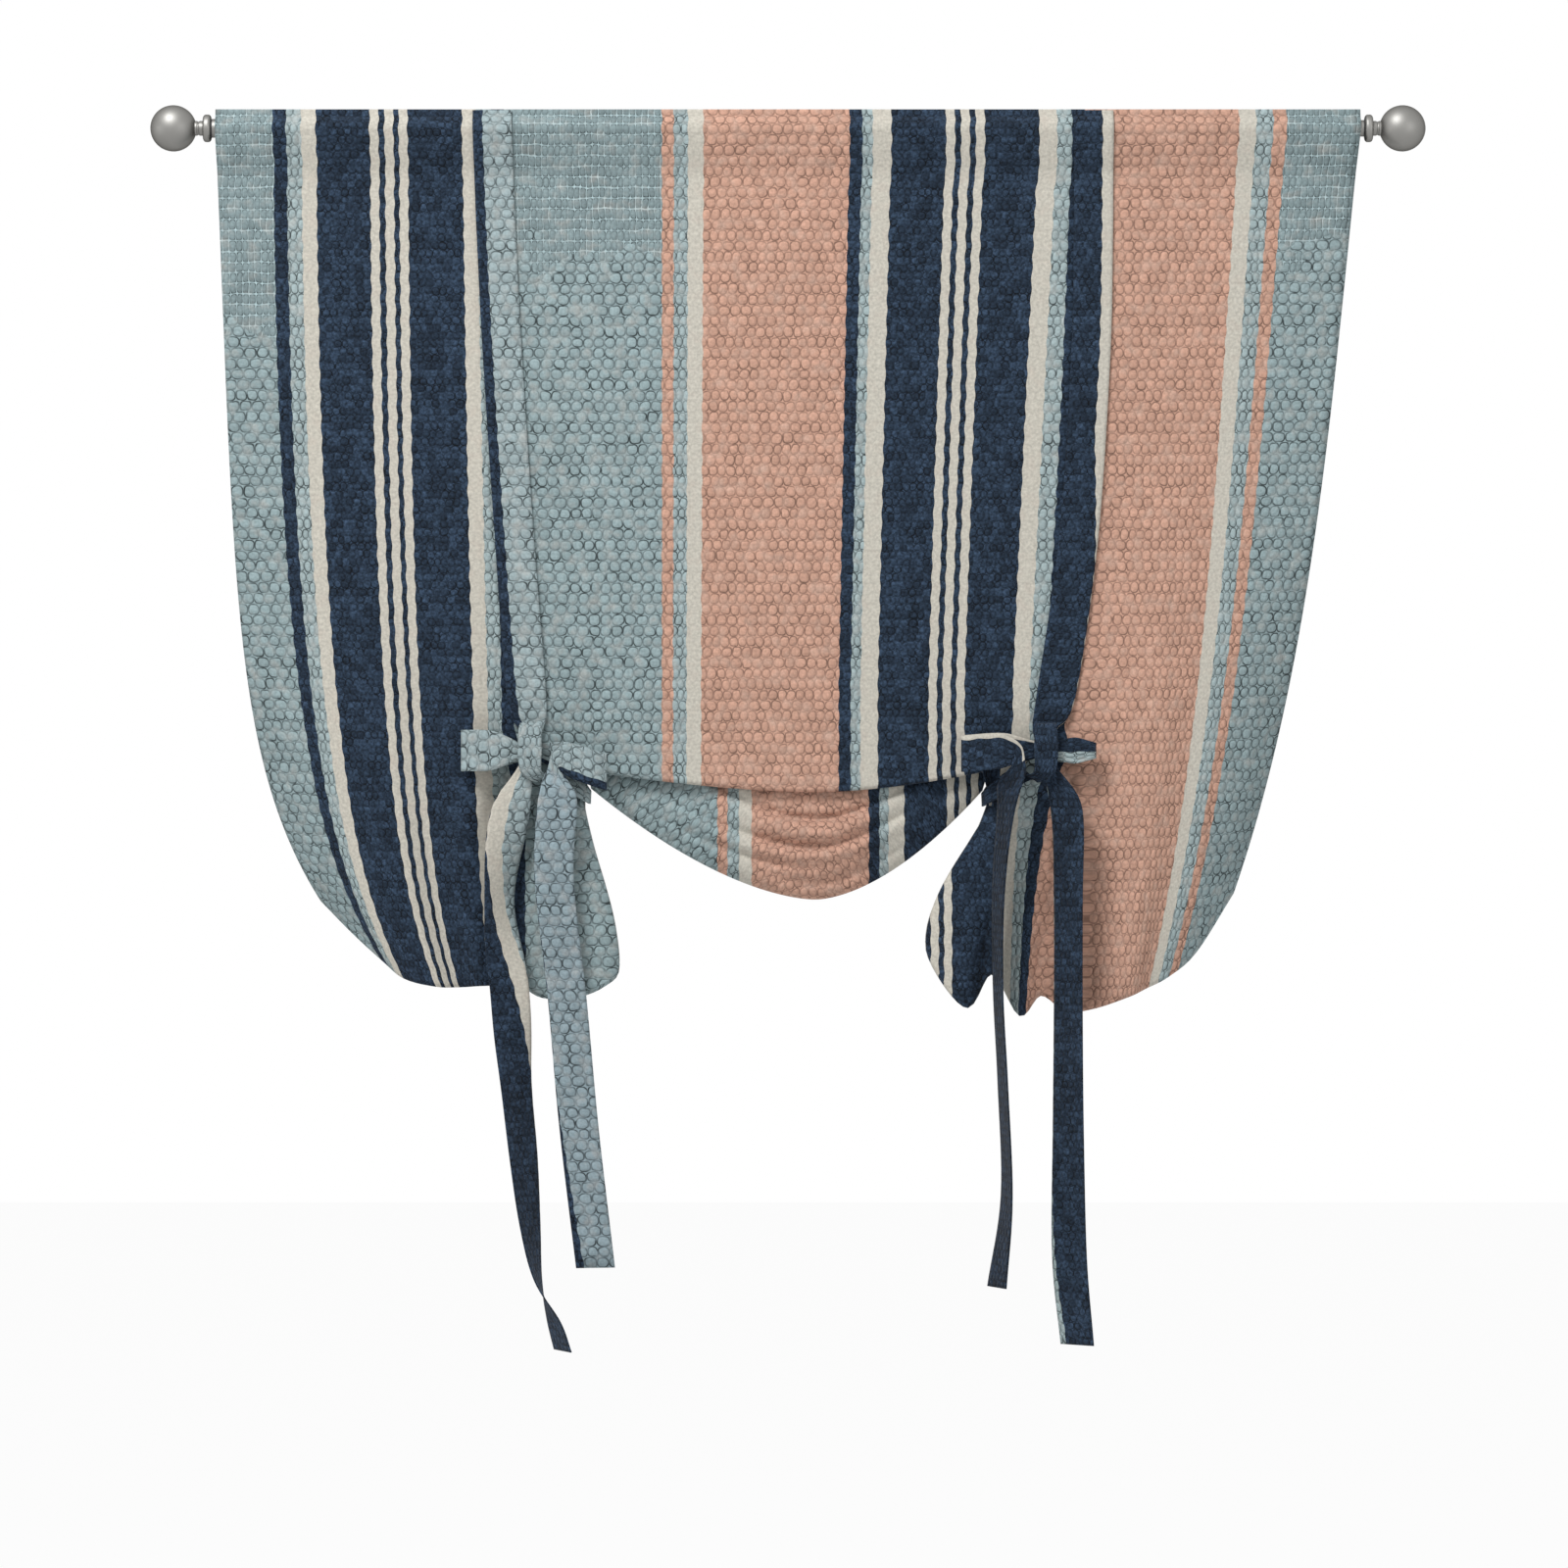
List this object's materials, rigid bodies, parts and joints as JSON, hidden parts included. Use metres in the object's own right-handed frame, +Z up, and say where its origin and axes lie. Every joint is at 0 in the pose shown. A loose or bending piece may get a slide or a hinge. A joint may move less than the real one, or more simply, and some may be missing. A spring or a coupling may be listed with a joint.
{
  "type": "tie-up curtain",
  "caption": "Striped cloth tie-up curtain on a ball-ended rod: straps tied in bows lift the lower edge into a draped swag between hanging tails.",
  "frame": {"origin": "on the rod's axis at the middle of the panel", "axes": "+X along the rod to the right as seen from the room, +Z up, -Y towards the room"},
  "size_m": [1.301, 0.1029, 1.2687],
  "materials": {
    "striped_cloth": "woven cotton with printed stripes",
    "strap_cloth": "woven cotton with printed stripes",
    "finial_metal": "brushed nickel",
    "rod_metal": "brushed nickel",
    "stud_metal": "plain zinc plated",
    "plug_plastic": "moulded"
  },
  "bodies": {
    "hung_curtain": {"curtain_panel": "striped_cloth", "left_front_tie": "strap_cloth", "left_back_tie": "strap_cloth", "right_front_tie": "strap_cloth", "right_back_tie": "strap_cloth", "rod_outer_tube": "rod_metal", "left_finial": "finial_metal", "left_finial_stud": "stud_metal", "left_end_plug": "plug_plastic"},
    "rod_inner": {"rod_inner_tube": "rod_metal", "right_finial": "finial_metal", "right_finial_stud": "stud_metal", "right_end_plug": "plug_plastic"}
  },
  "joints": [
    {"name": "rod_extension", "type": "slide", "parent": "hung_curtain", "child": "rod_inner", "axis": [1, 0, 0], "range_m": [0, 0.25]}
  ]
}
